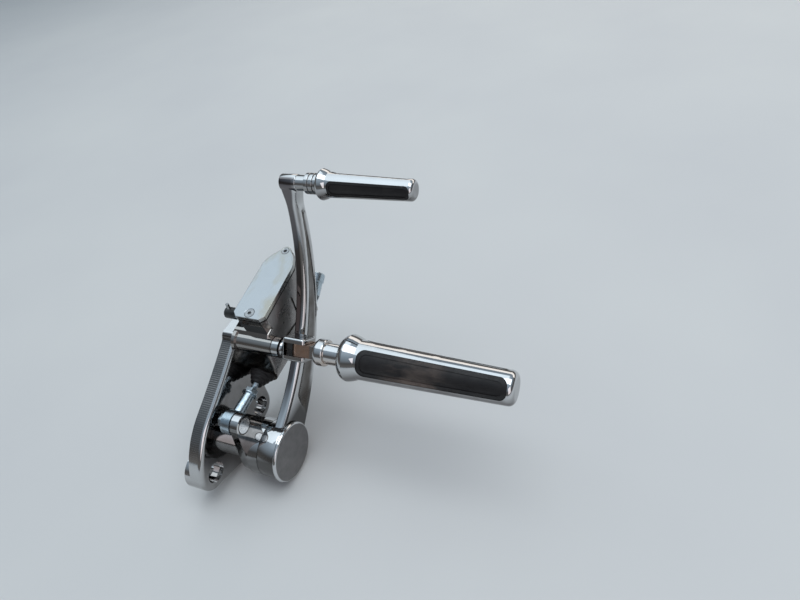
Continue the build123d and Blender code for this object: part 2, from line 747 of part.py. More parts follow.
with BuildPart() as peg_clevis:
    with BuildSketch(along(boss_y, boss_z)):
        with BuildLine():
            face = housing_out + peg_boss_proud
            band_start = face + collar_gap_long
            band_end = band_start + collar_band_long
            neck = (band_end + fork_start) / 2
            stud = Polyline((housing_out - peg_stud_long, 0), (housing_out - peg_stud_long, peg_stud_r),
                            (face, peg_stud_r), (face, collar_gap_r), (band_start, collar_gap_r),
                            (band_start, collar_r), (band_end, collar_r))
            cove = ThreePointArc(stud @ 1, (neck, collar_neck_r), (fork_start, collar_end_r))
            Polyline(cove @ 1, (fork_start + slot_floor / 2, collar_end_r), (fork_start + slot_floor / 2, 0), stud @ 0)
        make_face()
    revolve(axis=Axis((0, boss_y, boss_z), (1, 0, 0)))
    add(fork_block.part)
    with BuildSketch(peg_plane(fork_start + slot_floor)):
        Rectangle(slot_wide, 2 * ear_deep)
    extrude(amount=fork_long, mode=Mode.SUBTRACT)
    with BuildSketch(pin_plane(-ear_span)):
        Circle(peg_pin_r)
    extrude(amount=2 * ear_span, mode=Mode.SUBTRACT)
peg_clevis.part.label = "peg_clevis"
export_step(peg_clevis.part, "parts/peg_clevis.step")

# Clevis pin
with BuildPart() as clevis_pin:
    with BuildSketch(pin_plane(-ear_span / 2)):
        Circle(peg_pin_r - seat)
    extrude(amount=ear_span)
clevis_pin.part.label = "clevis_pin"
export_step(clevis_pin.part, "parts/clevis_pin.step")

# Footpeg tongue with its shoulder and neck
with BuildPart() as footpeg_tongue:
    with BuildSketch(peg_plane(peg_pin_x + shoulder_gap)):
        Circle(shoulder_r)
    extrude(amount=shoulder_long)
    fillet(footpeg_tongue.edges().group_by(Axis.X)[-1], radius=shoulder_end_round)
    fillet(footpeg_tongue.edges().group_by(Axis.X)[0], radius=shoulder_round)
    with BuildSketch(pin_plane(-tongue_thick / 2)):
        Circle(tongue_deep / 2)
    extrude(amount=tongue_thick)
    with BuildSketch(peg_plane(peg_pin_x)):
        Rectangle(tongue_thick, tongue_deep)
    extrude(amount=shoulder_gap + shoulder_long / 2)
    with BuildSketch(peg_plane(peg_pin_x + shoulder_gap + shoulder_long)):
        Circle(neck_r)
    extrude(amount=neck_long)
    with BuildSketch(pin_plane(-ear_span)):
        Circle(peg_pin_r + running)
    extrude(amount=2 * ear_span, mode=Mode.SUBTRACT)
footpeg_tongue.part.label = "footpeg_tongue"
export_step(footpeg_tongue.part, "parts/footpeg_tongue.step")

# Footpeg and toe peg bodies with their rubber inlays
for name, peg in (("footpeg", foot_peg), ("toe_peg", toe_peg)):
    chrome_body = peg_body(peg)
    chrome_body.label = f"{name}_body"
    export_step(chrome_body, f"parts/{name}_body.step")
    for place, angle in zip(("rear", "low", "front"), peg["angles"]):
        rubber = peg_inlay(peg, angle)
        rubber.label = f"{name}_inlay_{place}"
        export_step(rubber, f"parts/{name}_inlay_{place}.step")

# Pedal arm: curved band with a pocket between its ribs, hub and toe barrel
def arm_edges(part, offset):
    """The band's two long edges that pass an offset from its arc."""
    middle = Vector(*arm_point(0.5, offset))
    long_edges = part.edges().filter_by(GeomType.CIRCLE)
    return [edge for edge in long_edges if (Vector(edge.position_at(0.5).Y, edge.position_at(0.5).Z) - middle).length < 2]


with BuildPart() as pedal_arm:
    with BuildSketch(side(arm_in)):
        add(arm_band(0, 1, 0, 0))
    extrude(amount=arm_thick)
    with BuildSketch(side(arm_out)) as pocket_outline:
        add(arm_band(arm_pocket_from, arm_pocket_to, arm_rear_rib, arm_front_rib))
        fillet(pocket_outline.vertices(), radius=arm_pocket_corner)
    extrude(amount=-arm_pocket_deep, mode=Mode.SUBTRACT)
    with BuildSketch(side(hub_in)):
        Circle(hub_r)
    extrude(amount=hub_long)
    with BuildSketch(side(barrel_in)):
        with Locations((toe_y, toe_z)):
            Circle(barrel_r)
        with Locations(arm_point(arm_gusset_from, -arm_gusset_back)):
            Circle(arm_gusset_r)
        make_hull()
    extrude(amount=arm_out - barrel_in - arm_gusset_sink)
    with BuildSketch(side(barrel_in)):
        with Locations((toe_y, toe_z)):
            Circle(barrel_r)
    extrude(amount=barrel_out - barrel_in)
    with BuildSketch(side(hub_in)):
        Circle(pivot_r + running)
    extrude(amount=hub_long, mode=Mode.SUBTRACT)
    with BuildSketch(side(barrel_in)):
        with Locations((toe_y, toe_z)):
            Circle(toe_bolt_r + seat)
    extrude(amount=barrel_out - barrel_in, mode=Mode.SUBTRACT)
    with BuildSketch(side(barrel_in)):
        with Locations((toe_y, toe_z)):
            Circle(toe_bolt_head_r + seat)
    extrude(amount=toe_bolt_head_long, mode=Mode.SUBTRACT)
pedal_arm.part.label = "pedal_arm"
export_step(pedal_arm.part, "parts/pedal_arm.step")

# Lever beside the hub, with the lug that carries the rod end
with BuildPart() as pedal_lever:
    with BuildSketch(side(lug_out)):
        Circle(hub_r)
    extrude(amount=lever_barrel_long)
    with BuildSketch(side(lug_in)):
        Circle(hub_r - 1.5)
        with Locations((pin_y, pin_z)):
            Circle(pin_boss_r)
        make_hull()
    extrude(amount=lug_thick)
    with BuildSketch(side(lug_in)):
        Circle(pivot_r + running)
    extrude(amount=lug_thick + lever_barrel_long, mode=Mode.SUBTRACT)
    with BuildSketch(side(lug_in)):
        with Locations((pin_y, pin_z)):
            Circle(lever_bolt_r + seat)
    extrude(amount=lug_thick, mode=Mode.SUBTRACT)
    with BuildSketch(side(lug_out)):
        with Locations((pin_y, pin_z)):
            Circle(bolt_recess_r)
    extrude(amount=-bolt_head_long, mode=Mode.SUBTRACT)
pedal_lever.part.label = "pedal_lever"
export_step(pedal_lever.part, "parts/pedal_lever.step")

# Round cap over the hub
with BuildPart() as hub_cap:
    with BuildSketch(side(hub_out)):
        Circle(cap_r)
    extrude(amount=cap_thick)
    chamfer(hub_cap.edges().group_by(Axis.X)[-1], length=cap_bevel)
hub_cap.part.label = "hub_cap"
export_step(hub_cap.part, "parts/hub_cap.step")

# Bolt of the rod end, through the lug
bolt_tip = bore_x - ball_half - nut_flange_long - nut_long
with BuildPart() as lever_bolt:
    with BuildSketch(side(lug_out - bolt_head_long, pin_y, pin_z)):
        Circle(bolt_head_r)
    extrude(amount=bolt_head_long)
    with BuildSketch(side(bolt_tip, pin_y, pin_z)):
        Circle(lever_bolt_r)
    extrude(amount=lug_out - bolt_head_long - bolt_tip)
lever_bolt.part.label = "lever_bolt"
export_step(lever_bolt.part, "parts/lever_bolt.step")

# Flanged nut of that bolt
with BuildPart() as lever_nut:
    with BuildSketch(side(bore_x - ball_half - nut_flange_long, pin_y, pin_z)):
        Circle(nut_flange_r)
        Circle(lever_bolt_r + seat, mode=Mode.SUBTRACT)
    extrude(amount=nut_flange_long)
    with BuildSketch(side(bolt_tip, pin_y, pin_z)):
        RegularPolygon(nut_flats / 2, 6, major_radius=False)
        Circle(lever_bolt_r + seat, mode=Mode.SUBTRACT)
    extrude(amount=nut_long)
lever_nut.part.label = "lever_nut"
export_step(lever_nut.part, "parts/lever_nut.step")

# Ball of the rod end, clamped by the bolt
ball_neck = (ball_r ** 2 - ball_half ** 2) ** 0.5
with BuildPart() as rod_ball:
    with BuildSketch(along(pin_y, pin_z)):
        with BuildLine():
            flank = Line((bore_x - ball_half, lever_bolt_r + seat), (bore_x - ball_half, ball_neck))
            round_side = ThreePointArc(flank @ 1, (bore_x, ball_r), (bore_x + ball_half, ball_neck))
            Polyline(round_side @ 1, (bore_x + ball_half, lever_bolt_r + seat), flank @ 0)
        make_face()
    revolve(axis=Axis((0, pin_y, pin_z), (1, 0, 0)))
rod_ball.part.label = "rod_ball"
export_step(rod_ball.part, "parts/rod_ball.step")

# Rod end: eye and shank
with BuildPart() as rod_end:
    with BuildSketch(side(bore_x - eye_half, pin_y, pin_z)):
        Circle(eye_r)
    extrude(amount=2 * eye_half)
    with BuildSketch(bore_plane(eye_r - 2.5)):
        Circle(shank_r)
    extrude(amount=shank_end - eye_r + 2.5)
    with BuildSketch(side(bore_x - eye_half, pin_y, pin_z)):
        Circle(ball_r + eye_clear)
    extrude(amount=2 * eye_half, mode=Mode.SUBTRACT)
    with BuildSketch(bore_plane(thread_start - slip)):
        Circle(thread_r + seat)
    extrude(amount=shank_end, mode=Mode.SUBTRACT)
rod_end.part.label = "rod_end"
export_step(rod_end.part, "parts/rod_end.step")

# Jam nut on the rod, with its flange
with BuildPart() as jam_nut:
    with BuildSketch(bore_plane(shank_end)):
        Circle(nut_flange_r)
        Circle(thread_r + seat, mode=Mode.SUBTRACT)
    extrude(amount=nut_flange_long)
    with BuildSketch(bore_plane(shank_end + nut_flange_long)):
        RegularPolygon(nut_flats / 2, 6, major_radius=False)
        Circle(thread_r + seat, mode=Mode.SUBTRACT)
    extrude(amount=nut_long)
jam_nut.part.label = "jam_nut"
export_step(jam_nut.part, "parts/jam_nut.step")

# Pushrod
with BuildPart() as pushrod:
    with BuildSketch(bore_plane(thread_start)):
        Circle(thread_r)
    extrude(amount=thread_end - thread_start)
pushrod.part.label = "pushrod"
export_step(pushrod.part, "parts/pushrod.step")

# Toe peg stem: neck and rings between the barrel and the peg
with BuildPart() as toe_peg_stem:
    with BuildSketch(side(barrel_out, toe_y, toe_z)):
        Circle(toe_neck_r)
    extrude(amount=toe_neck_long)
    with BuildSketch(side(barrel_out + toe_neck_long, toe_y, toe_z)):
        Circle(toe_groove_r)
    extrude(amount=toe_start - barrel_out - toe_neck_long)
    for ring in range(toe_ring_count):
        with BuildSketch(side(barrel_out + toe_neck_long + ring * (toe_ring_long + toe_groove_long), toe_y, toe_z)):
            Circle(toe_ring_r)
        extrude(amount=toe_ring_long)
    with BuildSketch(side(barrel_out, toe_y, toe_z)):
        Circle(toe_bolt_r + seat)
    extrude(amount=toe_bolt_reach + slip, mode=Mode.SUBTRACT)
toe_peg_stem.part.label = "toe_peg_stem"
export_step(toe_peg_stem.part, "parts/toe_peg_stem.step")

# Bolt of the toe peg, from the arm's inner side
with BuildPart() as toe_peg_bolt:
    with BuildSketch(side(barrel_in, toe_y, toe_z)):
        Circle(toe_bolt_head_r)
    extrude(amount=toe_bolt_head_long)
    with BuildSketch(side(barrel_in, toe_y, toe_z)):
        RegularPolygon(toe_bolt_socket_flats / 2, 6, major_radius=False)
    extrude(amount=toe_bolt_socket_deep, mode=Mode.SUBTRACT)
    with BuildSketch(side(barrel_in + toe_bolt_head_long, toe_y, toe_z)):
        Circle(toe_bolt_r)
    extrude(amount=barrel_out - barrel_in - toe_bolt_head_long + toe_bolt_reach)
toe_peg_bolt.part.label = "toe_peg_bolt"
export_step(toe_peg_bolt.part, "parts/toe_peg_bolt.step")

# Brake light switch: steel stem in the reservoir's hidden wall, body and terminal
wall_x = housing_out - 2 * cover_half
with BuildPart() as switch_stem:
    with BuildSketch(side(wall_x - switch_gap, switch_y, switch_z)):
        RegularPolygon(stem_flats / 2, 6, major_radius=False)
    extrude(amount=switch_gap)
    with BuildSketch(side(wall_x, switch_y, switch_z)):
        Circle(stem_thread_r)
    extrude(amount=stem_thread_long)
switch_stem.part.label = "switch_stem"
export_step(switch_stem.part, "parts/switch_stem.step")

switch_start = wall_x - switch_gap - switch_long
with BuildPart() as switch_body:
    with BuildSketch(side(switch_start, switch_y, switch_z)):
        Circle(switch_r)
    extrude(amount=switch_long)
    chamfer(switch_body.edges().group_by(Axis.X)[0], length=switch_chamfer)
    with BuildSketch(Plane(origin=(switch_start + terminal_share * switch_long, switch_y, switch_z), z_dir=(0, 0, 1))):
        Circle(terminal_r + seat)
    extrude(amount=switch_r, mode=Mode.SUBTRACT)
switch_body.part.label = "switch_body"
export_step(switch_body.part, "parts/switch_body.step")

with BuildPart() as switch_terminal:
    with BuildSketch(Plane(origin=(switch_start + terminal_share * switch_long, switch_y, switch_z), z_dir=(0, 0, 1))):
        Circle(terminal_r)
    extrude(amount=switch_r + terminal_high)
switch_terminal.part.label = "switch_terminal"
export_step(switch_terminal.part, "parts/switch_terminal.step")
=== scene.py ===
import json
import math

import bmesh
import bpy
from mathutils import Matrix, Vector


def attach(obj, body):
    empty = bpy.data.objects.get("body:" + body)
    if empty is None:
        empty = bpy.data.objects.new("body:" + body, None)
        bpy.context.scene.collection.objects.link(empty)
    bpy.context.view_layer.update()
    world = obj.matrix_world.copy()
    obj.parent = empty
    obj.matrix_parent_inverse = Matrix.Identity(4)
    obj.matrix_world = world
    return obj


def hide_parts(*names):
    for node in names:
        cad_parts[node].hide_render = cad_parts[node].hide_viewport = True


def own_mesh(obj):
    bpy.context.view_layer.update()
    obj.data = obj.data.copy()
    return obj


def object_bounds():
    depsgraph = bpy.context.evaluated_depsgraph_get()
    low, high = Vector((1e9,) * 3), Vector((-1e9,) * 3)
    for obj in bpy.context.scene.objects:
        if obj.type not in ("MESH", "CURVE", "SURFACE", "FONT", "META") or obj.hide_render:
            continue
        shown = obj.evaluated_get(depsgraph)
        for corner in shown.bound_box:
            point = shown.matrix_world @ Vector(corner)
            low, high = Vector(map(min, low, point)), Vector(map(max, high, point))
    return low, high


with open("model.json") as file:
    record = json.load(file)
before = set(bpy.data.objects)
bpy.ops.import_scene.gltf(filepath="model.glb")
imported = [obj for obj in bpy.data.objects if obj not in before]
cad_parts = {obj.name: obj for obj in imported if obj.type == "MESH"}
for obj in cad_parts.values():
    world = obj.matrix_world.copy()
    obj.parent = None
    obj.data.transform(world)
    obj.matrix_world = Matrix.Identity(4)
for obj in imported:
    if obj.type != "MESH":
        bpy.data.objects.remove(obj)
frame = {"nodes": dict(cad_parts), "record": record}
cad_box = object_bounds()
nodes = frame["nodes"]

# Camera at the photograph's viewing angle
lens_mm = 27.0
sensor_mm = 36.0
nearest = 0.01
camera_place = Vector((0.3273, -0.2072, 0.4002))
camera_right = Vector((0.9138, 0.3695, -0.1691)).normalized()
camera_up = Vector((-0.1308, 0.6615, 0.7386)).normalized()
camera_back = camera_right.cross(camera_up).normalized()
camera_data = bpy.data.cameras.new("camera")
camera_data.lens = lens_mm
camera_data.sensor_width = sensor_mm
camera_data.clip_start = nearest
camera = bpy.data.objects.new("camera", camera_data)
bpy.context.scene.collection.objects.link(camera)
camera.matrix_world = Matrix((
    (camera_right.x, camera_up.x, camera_back.x, camera_place.x),
    (camera_right.y, camera_up.y, camera_back.y, camera_place.y),
    (camera_right.z, camera_up.z, camera_back.z, camera_place.z),
    (0, 0, 0, 1),
))
bpy.context.scene.camera = camera
bpy.context.scene.view_settings.view_transform = "Standard"


class Shader:
    """A small helper that builds one node material."""

    def __init__(self, name):
        self.material = bpy.data.materials.new(name)
        self.material.use_nodes = True
        self.tree = self.material.node_tree
        self.tree.nodes.clear()
        self.output = self.tree.nodes.new("ShaderNodeOutputMaterial")
        self.surface = self.tree.nodes.new("ShaderNodeBsdfPrincipled")
        self.tree.links.new(self.surface.outputs["BSDF"], self.output.inputs["Surface"])
        self.coords = self.tree.nodes.new("ShaderNodeTexCoord").outputs["Object"]
        self.own_normal = self.tree.nodes.new("ShaderNodeTexCoord").outputs["Normal"]
        self.world_normal = self.tree.nodes.new("ShaderNodeNewGeometry").outputs["Normal"]

    def link(self, source, target):
        self.tree.links.new(source, target)

    def set(self, name, value):
        self.surface.inputs[name].default_value = value

    def feed(self, name, source):
        self.link(source, self.surface.inputs[name])

    def noise(self, scale, detail, rough, stretch=None, distortion=0.0):
        """Noise over the object's own coordinates; stretch scales them along X, Y and Z."""
        texture = self.tree.nodes.new("ShaderNodeTexNoise")
        texture.inputs["Scale"].default_value = scale
        texture.inputs["Detail"].default_value = detail
        texture.inputs["Roughness"].default_value = rough
        texture.inputs["Distortion"].default_value = distortion
        if stretch:
            mapping = self.tree.nodes.new("ShaderNodeMapping")
            mapping.inputs["Scale"].default_value = stretch
            self.link(self.coords, mapping.inputs["Vector"])
            self.link(mapping.outputs["Vector"], texture.inputs["Vector"])
        else:
            self.link(self.coords, texture.inputs["Vector"])
        return texture.outputs["Fac"]

    def ramp(self, source, between, to=(0.0, 1.0)):
        """Runs over the range to while the source goes between its two limits."""
        node = self.tree.nodes.new("ShaderNodeMapRange")
        node.inputs["From Min"].default_value = between[0]
        node.inputs["From Max"].default_value = between[1]
        node.inputs["To Min"].default_value = to[0]
        node.inputs["To Max"].default_value = to[1]
        self.link(source, node.inputs["Value"])
        return node.outputs["Result"]

    def patches(self, between, to=(0.0, 1.0), **texture):
        """Noise drawn apart into patches."""
        return self.ramp(self.noise(**texture), between, to)

    def math(self, kind, first, second=None):
        node = self.tree.nodes.new("ShaderNodeMath")
        node.operation = kind
        for place, value in enumerate((first, second)):
            if value is None:
                continue
            if isinstance(value, (int, float)):
                node.inputs[place].default_value = value
            else:
                self.link(value, node.inputs[place])
        return node.outputs["Value"]

    def product(self, first, *others):
        for value in others:
            first = self.math("MULTIPLY", first, value)
        return first

    def total(self, first, *others):
        for value in others:
            first = self.math("ADD", first, value)
        return first

    def mix(self, share, first, second):
        """A blend of two colours, each a plain colour or a socket."""
        node = self.tree.nodes.new("ShaderNodeMix")
        node.data_type = "RGBA"
        self.link(share, node.inputs["Factor"])
        for socket, value in (("A", first), ("B", second)):
            target = [s for s in node.inputs if s.name == socket and s.type == "RGBA"][0]
            if isinstance(value, tuple):
                target.default_value = (*value, 1.0)
            else:
                self.link(value, target)
        return [s for s in node.outputs if s.type == "RGBA"][0]

    def axis(self, vector, name):
        node = self.tree.nodes.new("ShaderNodeSeparateXYZ")
        self.link(vector, node.inputs["Vector"])
        return node.outputs[name]

    def facing(self, name, between, to=(0.0, 1.0)):
        """A ramp over the own normal's part along an axis."""
        return self.ramp(self.axis(self.own_normal, name), between, to)

    def reaching(self, name, between, to=(0.0, 1.0)):
        """A ramp over the place along an axis, in metres."""
        return self.ramp(self.axis(self.coords, name), between, to)

    def bump(self, height, strength, distance):
        node = self.tree.nodes.new("ShaderNodeBump")
        node.inputs["Strength"].default_value = strength
        node.inputs["Distance"].default_value = distance
        self.link(height, node.inputs["Height"])
        return node.outputs["Normal"]

    def present(self, name):
        """What feeds a socket of the surface so far."""
        return self.surface.inputs[name].links[0].from_socket

    def lay(self, share, colour, amount=1.0):
        """Lays a colour over the surface's own; amount says how thick it lies where the share is whole."""
        if amount < 1.0:
            share = self.product(share, amount)
        self.feed("Base Color", self.mix(share, self.present("Base Color"), colour))

    def roughen(self, share, amount):
        """Adds roughness, in the amount given where the share is whole."""
        self.feed("Roughness", self.total(self.present("Roughness"), self.product(share, amount)))


# Colours of the plating, of the dirt and marks on it, and of the shade and reflections painted on it
bright = (0.62, 0.625, 0.63)
dust_colour = (0.34, 0.29, 0.24)
# Painted shade on faces turned sideways and down, in place of dark reflections, with some road grime
road_film_and_shade = (0.17, 0.155, 0.145)
# Dark painted shade for the pegs' undersides
peg_painted_shade = (0.085, 0.073, 0.068)
# Dark painted shade for the pedal's arm, hub and lever
pedal_painted_shade = (0.075, 0.07, 0.066)
# Painted shade in the pedal arm's channel
channel_painted_shade = (0.1, 0.088, 0.078)
# Painted shade for the pedal arm's rear face
rear_painted_shade = (0.1, 0.085, 0.088)
# The block's plating, darkened partly as dust and partly as painted shade
block_metal_dust_and_shade = (0.42, 0.4, 0.38)
# Near-black painted shade on the block's faces turned sideways and down
block_painted_shade = (0.085, 0.077, 0.07)
# Mid grey painted shade over the block's outboard wall
block_wall_painted_shade = (0.3, 0.285, 0.28)
# The next two: painted brown reflection of the ground on the footpeg's tongue
tongue_painted_reflection = (0.5, 0.38, 0.29)
tongue_painted_brown_reflection = (0.66, 0.42, 0.3)
# Painted black shade for the floor of the clevis's slot
slot_painted_shade = (0.02, 0.018, 0.018)
cover_metal = (0.43, 0.455, 0.475)
water_stain = (0.39, 0.37, 0.31)
cutter_dark = (0.11, 0.103, 0.1)
cutter_pale = (0.27, 0.255, 0.245)
scuff_dark = (0.17, 0.165, 0.165)
scuff_pale = (0.27, 0.262, 0.26)


def plated(name, colour, dullness, dustiness=0.5, film_and_shade_colour=road_film_and_shade, film_and_shade=0.8, film_and_shade_from=0.5):
    """Bright plating with smudges, wipe marks and dust. Faces turned sideways and down are darkened with the
    film colour: painted shade in place of dark reflections, and in part road grime.

    The painted shade sets in where the own normal's Z reaches the given start and is whole half a unit lower.
    """
    film_and_shade_fade = 0.5
    smudge_share = 0.22
    smudge_shade = 0.84
    mark_rough = 0.05
    dust_rough = 0.4
    film_and_shade_rough = 0.05
    s = Shader(name)
    s.set("Metallic", 1.0)
    smudge = s.patches((0.45, 0.72), scale=55.0, detail=5.0, rough=0.6, distortion=0.6)
    wipe = s.patches((0.5, 0.8), scale=400.0, detail=3.0, rough=0.5, stretch=(0.25, 1.0, 1.6))
    specks = s.patches((0.66, 0.74), scale=1500.0, detail=2.0, rough=0.6)
    dusty = s.patches((0.5, 0.75), scale=38.0, detail=4.0, rough=0.55)
    dust = s.product(specks, dusty, dustiness)
    shade = tuple(smudge_shade * value for value in colour)
    clean = s.mix(s.product(smudge, smudge_share), colour, shade)
    # Painted shade, with some road grime, darkens faces turned sideways and down, broken into patches
    lower = s.facing("Z", (film_and_shade_from, film_and_shade_from - film_and_shade_fade))
    cloud = s.patches((0.3, 0.7), (0.72, 1.0), scale=70.0, detail=5.0, rough=0.6,
                      stretch=(0.6, 1.0, 1.0), distortion=0.5)
    filmed_and_shaded = s.product(lower, cloud, film_and_shade)
    s.feed("Base Color", s.mix(filmed_and_shaded, clean, film_and_shade_colour))
    s.lay(dust, dust_colour)
    marks = s.product(s.total(smudge, wipe), mark_rough)
    s.feed("Roughness", s.total(marks, dullness))
    s.roughen(dust, dust_rough)
    s.roughen(filmed_and_shaded, film_and_shade_rough)
    s.feed("Normal", s.bump(s.noise(scale=300.0, detail=3.0, rough=0.5), strength=0.05, distance=0.0003))
    return s


def ribbed_plating():
    """Plating of the pedal arm, with painted shade in its channel, on its rear edge and low on its hub, and
    on its faces turned down.
    """
    channel_mouth = 0.06885
    channel_floor = 0.0675
    hub_top = (0.03, 0.02)
    arm_start = (0.026, 0.044)
    s = plated("arm_chrome", bright, 0.05, film_and_shade_colour=pedal_painted_shade, film_and_shade=0.92, film_and_shade_from=-0.05)
    sunk = s.reaching("X", (channel_mouth, channel_floor))
    outward = s.facing("X", (0.45, 0.8))
    channel_patches = s.patches((0.3, 0.7), (0.75, 1.0), scale=110.0, detail=5.0, rough=0.6, stretch=(1.0, 0.5, 0.5))
    in_channel = s.product(sunk, outward, channel_patches)
    rearward = s.facing("Y", (-0.25, -0.5))
    flat_side = s.facing("X", (0.35, 0.1))
    above_hub = s.reaching("Z", arm_start)
    on_hub = s.reaching("Z", hub_top)
    hub_low = s.product(s.facing("Z", (0.85, 0.45)), on_hub)
    # Painted shade on the arm's rear face, above the hub
    s.lay(s.product(rearward, flat_side, above_hub), rear_painted_shade, amount=0.88)
    # Painted shade low on the hub, on faces turned sideways and down
    s.lay(hub_low, pedal_painted_shade, amount=0.92)
    # Painted shade in the arm's channel, where its floor faces outward
    s.lay(in_channel, channel_painted_shade)
    s.roughen(in_channel, amount=0.08)
    s.roughen(hub_low, amount=0.14)
    return s.material


def block_plating():
    """The cylinder's block is the darkest plating, partly dust and partly painted shade; its faces turned
    sideways and down take painted shade in full, streaks run along its round boss, and its outboard wall is
    rougher, with a lighter painted shade.
    """
    s = plated("block_chrome", block_metal_dust_and_shade, 0.06, film_and_shade_colour=block_painted_shade, film_and_shade=1.0)
    side_wall = s.facing("X", (0.6, 0.9))
    streaks = s.noise(scale=260.0, detail=4.0, rough=0.6, stretch=(0.05, 1.0, 1.0))
    elsewhere = s.math("SUBTRACT", 1.0, side_wall)
    s.feed("Normal", s.bump(s.product(streaks, elsewhere), strength=0.12, distance=0.0003))
    # A lighter painted shade over the outboard wall
    s.lay(side_wall, block_wall_painted_shade, amount=0.85)
    s.roughen(side_wall, amount=0.16)
    return s.material


def tongue_plating():
    """Painted brown reflection of the ground on the footpeg's tongue, on its faces turned sideways and down
    and in patches where it lies in the clevis.
    """
    fork_end = (0.0925, 0.0905)
    s = plated("tongue_chrome", bright, 0.05, film_and_shade_colour=tongue_painted_reflection, film_and_shade=0.6)
    in_fork = s.reaching("X", fork_end)
    reflection_patches = s.patches((0.3, 0.7), (0.8, 1.0), scale=160.0, detail=4.0, rough=0.6)
    # Painted brown reflection in patches where the tongue lies in the fork
    s.lay(s.product(in_fork, reflection_patches), tongue_painted_brown_reflection)
    s.roughen(in_fork, amount=0.2)
    return s.material


def clevis_plating():
    """Painted black shade on the floor of the clevis's slot."""
    slot_root = (0.078, 0.074)
    s = plated("clevis_chrome", bright, 0.05)
    outward = s.facing("X", (0.4, 0.7))
    # Painted black shade where the slot's floor faces outward
    s.lay(s.product(outward, s.reaching("X", slot_root)), slot_painted_shade)
    return s.material


def cover_plating():
    """Faint water stains on the reservoir's cover."""
    s = plated("cover_chrome", cover_metal, 0.1, dustiness=0.35, film_and_shade=0.5)
    water = s.patches((0.43, 0.62), scale=26.0, detail=4.0, rough=0.55,
                      stretch=(1.6, 0.7, 1.0), distortion=0.8)
    s.lay(water, water_stain, amount=0.8)
    return s.material


def bracket_plating():
    """Milled edge faces of the bracket keep the cutter's marks, across the plate's thickness."""
    cutter_wave = 2700.0
    fine_share = 1.5
    pad_top = (0.022, 0.04)
    s = plated("bracket_chrome", bright, 0.05, film_and_shade=0.7)
    up = s.axis(s.coords, "Z")
    side_face = s.math("ABSOLUTE", s.axis(s.world_normal, "X"))
    thin_face = s.ramp(side_face, (0.25, 0.1))
    above_pad = s.ramp(up, pad_top)
    not_top = s.ramp(s.axis(s.world_normal, "Z"), (0.97, 0.93))
    edge = s.product(thin_face, above_pad, not_top)
    run = s.total(s.axis(s.coords, "Y"), up)
    cutter = s.math("SINE", s.product(run, cutter_wave))
    fine = s.noise(scale=700.0, detail=3.0, rough=0.6, stretch=(0.06, 1.0, 1.0))
    uneven = s.patches((0.3, 0.6), (0.45, 1.0), scale=60.0, detail=3.0, rough=0.5, stretch=(0.25, 1.0, 1.0))
    lines = s.product(s.ramp(s.total(cutter, s.product(fine, fine_share)), (0.3, 1.7)), uneven)
    s.feed("Normal", s.bump(s.product(lines, edge), strength=0.2, distance=0.0004))
    s.roughen(edge, amount=0.16)
    s.lay(edge, s.mix(lines, cutter_dark, cutter_pale), amount=0.85)
    return s.material


def scuffed_plating():
    """The hub cap, with a scuffed face and a bright rim."""
    rim_rough = 0.07
    face_rough = 0.24
    cloud_rough = 0.16
    scratch_share = 0.6
    s = Shader("worn_chrome")
    s.set("Metallic", 1.0)
    face = s.ramp(s.math("ABSOLUTE", s.axis(s.world_normal, "X")), (0.9, 0.97))
    cloud = s.patches((0.3, 0.75), scale=120.0, detail=6.0, rough=0.65, distortion=0.4)
    scratches = s.patches((0.45, 0.62), scale=500.0, detail=4.0, rough=0.6, stretch=(1.0, 0.15, 1.0))
    s.feed("Base Color", s.mix(face, bright, s.mix(cloud, scuff_dark, scuff_pale)))
    scuffed = s.total(s.product(cloud, cloud_rough), face_rough)
    s.feed("Roughness", s.total(s.product(face, scuffed), rim_rough))
    grain = s.total(s.product(scratches, scratch_share), s.noise(scale=1800.0, detail=3.0, rough=0.6))
    s.feed("Normal", s.bump(s.product(grain, face), strength=0.2, distance=0.0003))
    return s.material


def mottled(name, metallic, shades, shade_noise, gloss_noise, gloss_range, grain):
    """A finish in two shades with uneven gloss and a fine grain.

    A noise is given as scale, detail and limits, the grain as scale and strength.
    """
    s = Shader(name)
    s.set("Metallic", metallic)
    scale, detail, limits = shade_noise
    s.feed("Base Color", s.mix(s.patches(limits, scale=scale, detail=detail, rough=0.6), *shades))
    scale, detail, limits = gloss_noise
    s.feed("Roughness", s.patches(limits, gloss_range, scale=scale, detail=detail, rough=0.6))
    scale, strength = grain
    s.feed("Normal", s.bump(s.noise(scale=scale, detail=3.0, rough=0.6), strength, distance=0.0002))
    return s.material


def rubber(name, smear):
    """Black rubber; smear gives the X range of a brown wear mark low on its outside."""
    blacks = ((0.007, 0.006, 0.007), (0.02, 0.018, 0.018))
    smear_colour = (0.17, 0.13, 0.11)
    s = Shader(name)
    s.set("Specular IOR Level", 0.4)
    s.feed("Base Color", s.mix(s.patches((0.4, 0.75), scale=70.0, detail=5.0, rough=0.6), *blacks))
    s.feed("Roughness", s.patches((0.3, 0.8), (0.42, 0.68), scale=500.0, detail=5.0, rough=0.65))
    if smear:
        start = s.reaching("X", (smear[0] - 0.012, smear[0] + 0.006))
        end = s.reaching("X", (smear[1] - 0.004, smear[1] + 0.006), (1.0, 0.0))
        low_down = s.facing("Z", (0.45, 0.1), (0.35, 1.0))
        ragged = s.patches((0.4, 0.55), scale=60.0, detail=6.0, rough=0.65, stretch=(0.45, 1.3, 1.3))
        worn_off = s.product(start, end, ragged, low_down)
        s.lay(worn_off, smear_colour, amount=0.9)
        s.roughen(worn_off, amount=0.2)
    s.feed("Normal", s.bump(s.noise(scale=2600.0, detail=3.0, rough=0.6), strength=0.18, distance=0.0003))
    return s.material


